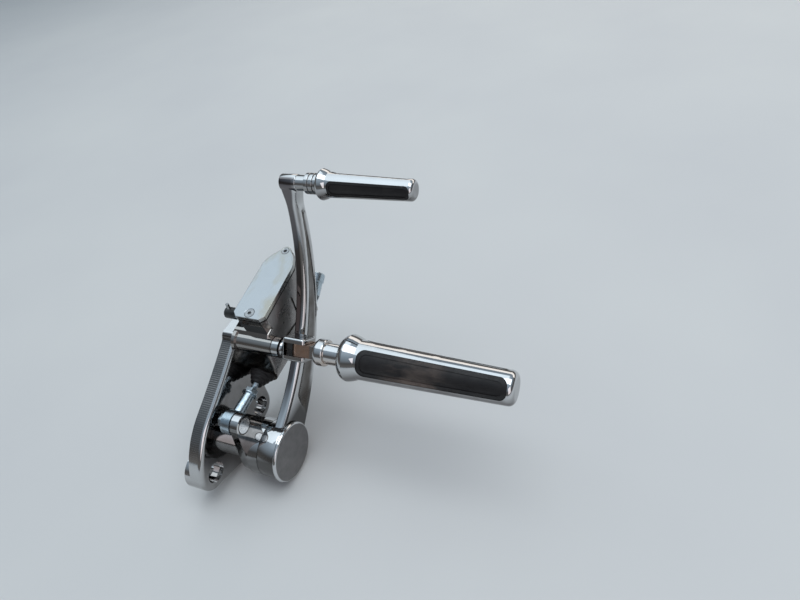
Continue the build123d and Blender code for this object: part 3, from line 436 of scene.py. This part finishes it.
# Finishes: the pegs' undersides get dark painted shade, and the painted shade lies thickest on the pedal
chrome = plated("chrome", bright, 0.045).material
peg_chrome = plated("peg_chrome", bright, 0.045, film_and_shade_colour=peg_painted_shade, film_and_shade=0.9, film_and_shade_from=0.3).material
# The lever takes dark painted shade on all but its upward faces
lever_chrome = plated("lever_chrome", bright, 0.05, film_and_shade_colour=pedal_painted_shade, film_and_shade=0.92, film_and_shade_from=0.9).material
arm_chrome = ribbed_plating()
zinc = mottled("zinc", metallic=1.0, shades=((0.38, 0.46, 0.52), (0.54, 0.62, 0.67)),
               shade_noise=(260.0, 4.0, (0.35, 0.7)), gloss_noise=(320.0, 5.0, (0.3, 0.75)),
               gloss_range=(0.14, 0.36), grain=(1400.0, 0.12))
steel = mottled("screw_steel", metallic=1.0, shades=((0.3, 0.31, 0.32), (0.46, 0.46, 0.46)),
                shade_noise=(300.0, 4.0, (0.35, 0.7)), gloss_noise=(420.0, 5.0, (0.3, 0.75)),
                gloss_range=(0.12, 0.34), grain=(1600.0, 0.1))
plastic = mottled("black_plastic", metallic=0.0, shades=((0.012, 0.012, 0.013), (0.03, 0.03, 0.03)),
                  shade_noise=(150.0, 4.0, (0.4, 0.7)), gloss_noise=(600.0, 4.0, (0.3, 0.8)),
                  gloss_range=(0.3, 0.5), grain=(2200.0, 0.15))
peg_rubber = rubber("peg_rubber", (0.163, 0.2))
toe_rubber = rubber("toe_rubber", None)
boot_rubber = rubber("boot_rubber", None)

# Finish of each CAD piece: its own where one is named, or else its slot's
slot_finish = {
    "chrome": chrome,
    "worn_chrome": scuffed_plating(),
    "zinc": zinc,
    "screw_steel": steel,
    "black_rubber": boot_rubber,
    "black_plastic": plastic,
}
own_finish = {
    "bracket_plate": bracket_plating(),
    "master_cylinder": block_plating(),
    "footpeg_body": peg_chrome,
    "toe_peg_body": peg_chrome,
    "pedal_lever": lever_chrome,
    "peg_clevis": clevis_plating(),
    "reservoir_cover": cover_plating(),
    "footpeg_tongue": tongue_plating(),
}
slot_of = {entry["node"]: entry["material_slot"] for entry in frame["record"]["subparts"]}
for name, node in nodes.items():
    finish = own_finish.get(name, slot_finish[slot_of[name]])
    if name.startswith("footpeg_inlay"):
        finish = peg_rubber
    if name.startswith("toe_peg_inlay"):
        finish = toe_rubber
    node.data.materials.clear()
    node.data.materials.append(finish)

# Edges that the real parts have polished round: width in millimetres
soft_edges = {"hub_cap": 0.8, "reservoir_cover": 0.7, "peg_clevis": 0.3, "footpeg_tongue": 0.3,
              "toe_peg_stem": 0.3, "line_fitting": 0.3, "jam_nut": 0.25, "rod_end": 0.4, "lever_nut": 0.25}
weld_distance = 0.00001
flat_within = math.radians(0.6)
edge_from = math.radians(38)
for name, width in soft_edges.items():
    weld = nodes[name].modifiers.new("weld", "WELD")
    weld.merge_threshold = weld_distance
    flat = nodes[name].modifiers.new("flat", "DECIMATE")
    flat.decimate_type = "DISSOLVE"
    flat.angle_limit = flat_within
    bevel = nodes[name].modifiers.new("bevel", "BEVEL")
    bevel.width = width / 1000
    bevel.segments = 3
    bevel.limit_method = "ANGLE"
    bevel.angle_limit = edge_from
    nodes[name].modifiers.new("normals", "WEIGHTED_NORMAL")

# Line of the cylinder's bore, which carries the pushrod and its boot
bore_x = 0.032
bore_y = -0.0076927
bore_z = 0.0361915
bore_run = Vector((0, 0.9961947, 0.0871557))
bore_across = Vector((1, 0, 0))
bore_up = Vector((0, -0.0871557, 0.9961947))


def add_band(shape, below, above):
    """Joins two rings of as many points with a band of faces."""
    for step in range(len(below)):
        after = (step + 1) % len(below)
        shape.faces.new((below[step], below[after], above[after], above[step]))


def add_turned(shape, line, rows, segments, radius_at, ends="capped"):
    """Adds a round form about a line, which is its origin and its run, across and up directions.

    radius_at gives the place along the line and the radius there, in millimetres, at a row and angle.
    """
    origin, run, across, up = line
    rings = []
    for row in rows:
        ring = []
        for step in range(segments):
            angle = 2 * math.pi * step / segments
            along, radius = radius_at(row, angle)
            outward = across * math.cos(angle) + up * math.sin(angle)
            ring.append(shape.verts.new(origin + (run * along + outward * radius) / 1000))
        rings.append(ring)
    pairs = list(zip(rings, rings[1:]))
    if ends == "closed":
        pairs.append((rings[-1], rings[0]))
    for below, above in pairs:
        add_band(shape, below, above)
    if ends == "capped":
        shape.faces.new(list(reversed(rings[0])))
        shape.faces.new(rings[-1])


def finished(name, shape, sharp):
    """Makes an object of the bmesh, smooth but for edges sharper than the given angle in degrees."""
    bmesh.ops.recalc_face_normals(shape, faces=shape.faces)
    for face in shape.faces:
        face.smooth = True
    mesh = bpy.data.meshes.new(name)
    shape.to_mesh(mesh)
    shape.free()
    mesh.set_sharp_from_angle(angle=math.radians(sharp))
    piece = bpy.data.objects.new(name, mesh)
    bpy.context.scene.collection.objects.link(piece)
    return piece


bore_line = (Vector((bore_x, bore_y, bore_z)), bore_run, bore_across, bore_up)

# Threaded pushrod, in millimetres along the bore: thread where it shows between the jam nut and the boot
rod_from = 17.5
rod_to = 66.0
rod_crest = 2.75
rod_depth = 0.42
thread_pitch = 1.0
thread_from = 30.0
thread_to = 44.0
thread_step = 0.125
thread_runout = 0.2
rod_sides = 24
thread_steps = int((thread_to - thread_from) / thread_step)
thread_rows = [rod_from, thread_from - thread_runout]
thread_rows += [thread_from + thread_step * step for step in range(thread_steps + 1)]
thread_rows += [thread_to + thread_runout, rod_to]


def thread_radius(row, angle):
    if row < thread_from or row > thread_to:
        return row, rod_crest
    phase = (row / thread_pitch - angle / (2 * math.pi)) % 1.0
    return row, rod_crest - rod_depth * abs(2 * phase - 1)


rod_shape = bmesh.new()
add_turned(rod_shape, bore_line, thread_rows, rod_sides, thread_radius)
threaded_rod = finished("threaded_rod", rod_shape, 60)
threaded_rod.data.materials.append(zinc)
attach(threaded_rod, "pushrod_assembly")
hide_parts("pushrod")

# Creased rubber boot: a bead at the rod, three soft folds and a lip in the bore's mouth (place, radius)
boot_profile = ((38.6, 2.95), (38.1, 3.3), (38.0, 4.6), (38.4, 5.35), (39.2, 5.5), (39.9, 5.1), (40.6, 5.5),
                (41.6, 7.2), (42.4, 7.3), (43.1, 6.9), (43.9, 7.5), (44.8, 9.0), (45.6, 9.2), (46.4, 8.7),
                (47.2, 9.1), (48.2, 10.5), (49.0, 10.7), (49.6, 10.2), (50.3, 10.8), (51.9, 10.9),
                (52.0, 9.8))
boot_widest = 10.95
broad_crease = 0.16
fine_crease = 0.09
crease_from = 5.6
crease_over = 4.0
boot_sides = 48


def boot_radius(row, angle):
    """Creases grow from the bead to the folds and stay inside the bore's mouth."""
    along, radius = row
    broad = broad_crease * math.sin(3 * angle + 0.7 * along)
    fine = fine_crease * math.sin(7 * angle - 1.3 * along)
    share = max(0.0, min(1.0, (radius - crease_from) / crease_over))
    return along, min(radius + (broad + fine) * share, boot_widest)


boot_shape = bmesh.new()
add_turned(boot_shape, bore_line, boot_profile, boot_sides, boot_radius)
creased_boot = finished("creased_boot", boot_shape, 80)
smooth = creased_boot.modifiers.new("smooth", "SUBSURF")
smooth.levels = 1
smooth.render_levels = 1
creased_boot.data.materials.append(boot_rubber)
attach(creased_boot, "bracket")
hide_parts("boot")
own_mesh(creased_boot)

# Middle line of the pedal arm, an arc in the YZ plane, and its X range, all in millimetres
arm_foot = Vector((14.5, 3.0))
arm_top = Vector((119.0, 184.0))
arm_bow = 28.0
arm_inner = 59.5
arm_outer = 69.0
arm_chord = arm_top - arm_foot
arm_bend = (arm_chord.length ** 2 / 4 + arm_bow ** 2) / (2 * arm_bow)
arm_outward = Vector((arm_chord.y, -arm_chord.x)).normalized()
arm_upward = arm_chord.normalized()
arm_middle = (arm_foot + arm_top) / 2 - arm_outward * (arm_bend - arm_bow)
arm_spread = math.asin(arm_chord.length / 2 / arm_bend)
arm_steps = 120

# Widths of the arm behind and before its middle line, from its foot up, and how its top end flares out
rear_foot = 22.0
rear_taper = 16.0
rear_flare = 1.6
front_foot = 11.4
front_taper = 19.0
front_swell = 11.6
front_flare = 0.5
outer_flare = 4.0
inner_flare = 0.5
flare_from = 0.9
flare_over = 0.1

# Rounds of the arm's edges, the outer two as (across, deep), and the channel between its ribs
rear_round = (5.0, 5.2)
front_round = (1.7, 2.0)
inner_round = 1.1
rear_rib_top = 4.6
rear_rib_foot = 5.0
front_rib = 1.9
channel_deep = 2.5
channel_full = 0.7
channel_start = 0.135
channel_slant = 0.06
channel_top = 0.9
start_fade = 0.035
top_fade = 0.04

# Points round the arm's section: steps over its outer side, and shares or turns along the rest
outer_steps = 40
corner_turns = (0, 30, 60, 90)
side_shares = (0.08, 0.5, 0.92)
back_shares = (0.04, 0.5, 0.96)


def ease(value):
    value = max(0.0, min(1.0, value))
    return value * value * (3 - 2 * value)


def drop(distance, reach):
    """How far an elliptic edge has dropped, this far in from its side."""
    if distance >= reach[0]:
        return 0.0
    share = 1 - max(distance, 0.0) / reach[0]
    return reach[1] * (1 - math.sqrt(max(0.0, 1 - share * share)))


def arm_section(share):
    """Offsets across the arm and X places round its section, share of the way up."""
    flare = ease((share - flare_from) / flare_over)
    rear = rear_foot - rear_taper * share + rear_flare * flare
    front = front_foot - front_taper * share + front_swell * share ** 2 + front_flare * flare
    outer = arm_outer + outer_flare * flare
    inner = arm_inner - inner_flare * flare
    rear_rib = rear_rib_top + rear_rib_foot * (1 - share) ** 4
    section = []
    for step in range(outer_steps + 1):
        across = -rear + (rear + front) * (0.5 - 0.5 * math.cos(math.pi * step / outer_steps))
        spot = (across + rear - rear_rib) / (rear + front - rear_rib - front_rib)
        hollow = 0.0
        if 0 < spot < 1:
            start = channel_start - channel_slant * spot
            ends = ease((share - start) / start_fade) * ease((channel_top - share) / top_fade)
            hollow = channel_deep * ends * math.sin(math.pi * spot) ** channel_full
        edge = drop(across + rear, rear_round) + drop(front - across, front_round)
        section.append((across, outer - hollow - edge))
    low_end = inner + inner_round
    for down in side_shares:
        section.append((front, outer - front_round[1] - (outer - front_round[1] - low_end) * down))
    for turn in corner_turns:
        across = front - inner_round * (1 - math.cos(math.radians(turn)))
        section.append((across, low_end - inner_round * math.sin(math.radians(turn))))
    flat = rear + front - 2 * inner_round
    for back in back_shares:
        section.append((front - inner_round - flat * back, inner))
    for turn in corner_turns:
        across = -rear + inner_round * (1 - math.sin(math.radians(turn)))
        section.append((across, low_end - inner_round * math.cos(math.radians(turn))))
    for up in side_shares:
        section.append((-rear, low_end + (outer - rear_round[1] - low_end) * up))
    return section


arm_shape = bmesh.new()
loops = []
for step in range(arm_steps + 1):
    share = step / arm_steps
    turn = (share - 0.5) * 2 * arm_spread
    heading = arm_outward * math.cos(turn) + arm_upward * math.sin(turn)
    loop = []
    for across, place_x in arm_section(share):
        spot = arm_middle + heading * (arm_bend + across)
        loop.append(arm_shape.verts.new((place_x / 1000, spot.x / 1000, spot.y / 1000)))
    loops.append(loop)
for below, above in zip(loops, loops[1:]):
    add_band(arm_shape, below, above)
arm_shape.faces.new(loops[0])
arm_shape.faces.new(loops[-1])

# The arm's hub and its toe barrel, turned about X (place, radius)
hub_sides = 96
barrel_sides = 48
hub_profile = ((54.0, 8.05), (54.0, 23.0), (54.15, 23.35), (54.5, 23.5), (69.5, 23.5), (69.85, 23.35),
               (70.0, 23.0), (70.0, 8.05))
barrel_profile = ((59.0, 5.02), (59.0, 6.0), (59.12, 6.28), (59.4, 6.4), (72.6, 6.4), (72.88, 6.28),
                  (73.0, 6.0), (73.0, 4.02), (63.0, 4.02), (63.0, 5.02))
hub_centre = Vector((0, 0, 0))
barrel_centre = Vector((0, 0.117, 0.184))
side_axes = (Vector((1, 0, 0)), Vector((0, 1, 0)), Vector((0, 0, 1)))


def turned_profile(row, angle):
    return row


add_turned(arm_shape, (hub_centre, *side_axes), hub_profile, hub_sides, turned_profile, "closed")
add_turned(arm_shape, (barrel_centre, *side_axes), barrel_profile, barrel_sides, turned_profile, "closed")
ribbed_arm = finished("ribbed_arm", arm_shape, 50)
ribbed_arm.data.materials.append(arm_chrome)
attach(ribbed_arm, "pedal")
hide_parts("pedal_arm")

# Floor just below the part
low, high = cad_box
floor_gap = 0.001
floor_reach = 6.0
floor_pales = ((0.62, 0.62, 0.62), (0.66, 0.66, 0.65))
floor_mesh = bpy.data.meshes.new("floor")
shape = bmesh.new()
bmesh.ops.create_grid(shape, x_segments=1, y_segments=1, size=floor_reach)
shape.to_mesh(floor_mesh)
shape.free()
floor = bpy.data.objects.new("floor", floor_mesh)
floor.location = (0, 0, low[2] - floor_gap)
bpy.context.scene.collection.objects.link(floor)
ground = Shader("floor")
floor_clouds = ground.patches((0.3, 0.7), scale=3.0, detail=3.0, rough=0.5)
ground.feed("Base Color", ground.mix(floor_clouds, *floor_pales))
ground.set("Roughness", 0.9)
ground.set("Specular IOR Level", 0.1)
floor_mesh.materials.append(ground.material)

# Studio sky: grey at the horizon, darker a little above it and pale blue overhead (height, colour)
sky_bottom = (0.0, (0.16, 0.158, 0.155, 1))
sky_top = (1.0, (0.5, 0.6, 0.7, 1))
sky_between = (
    (0.12, (0.13, 0.128, 0.126, 1)),
    (0.3, (0.09, 0.09, 0.092, 1)),
    (0.5, (0.2, 0.235, 0.27, 1)),
    (0.75, (0.3, 0.37, 0.44, 1)),
)
world = bpy.data.worlds.new("studio")
bpy.context.scene.world = world
world.use_nodes = True
sky = world.node_tree.nodes["Background"]
direction = world.node_tree.nodes.new("ShaderNodeTexCoord")
split = world.node_tree.nodes.new("ShaderNodeSeparateXYZ")
fade = world.node_tree.nodes.new("ShaderNodeValToRGB")
world.node_tree.links.new(direction.outputs["Generated"], split.inputs["Vector"])
world.node_tree.links.new(split.outputs["Z"], fade.inputs["Fac"])
world.node_tree.links.new(fade.outputs["Color"], sky.inputs["Color"])
stops = fade.color_ramp.elements
for stop, (position, colour) in zip(stops, (sky_bottom, sky_top)):
    stop.position = position
    stop.color = colour
for position, colour in sky_between:
    stops.new(position).color = colour
sky.inputs["Strength"].default_value = 1.0


def lamp(name, place, aim, size, power, colour):
    """A soft rectangular lamp that points at a spot."""
    data = bpy.data.lights.new(name, "AREA")
    data.shape = "RECTANGLE"
    data.size = size[0]
    data.size_y = size[1]
    data.energy = power
    data.color = colour
    holder = bpy.data.objects.new(name, data)
    bpy.context.scene.collection.objects.link(holder)
    holder.location = place
    holder.rotation_euler = (Vector(aim) - Vector(place)).to_track_quat("-Z", "Y").to_euler()


# Soft light from above and from both sides: place, size, power and colour
centre = ((low[0] + high[0]) / 2, (low[1] + high[1]) / 2, (low[2] + high[2]) / 2)
lamp("key", (-1.1, 0.75, 2.3), centre, (2.8, 2.2), 17.0, (0.86, 0.95, 1.0))
lamp("top", (0.75, 0.1, 2.5), centre, (1.6, 2.6), 27.0, (0.94, 0.98, 1.0))
lamp("fill", (1.4, -1.3, 0.95), centre, (1.3, 1.5), 6.2, (1.0, 0.92, 0.945))
lamp("rim", (0.4, 1.8, 0.9), centre, (3.0, 0.65), 7.5, (1.0, 0.93, 0.86))
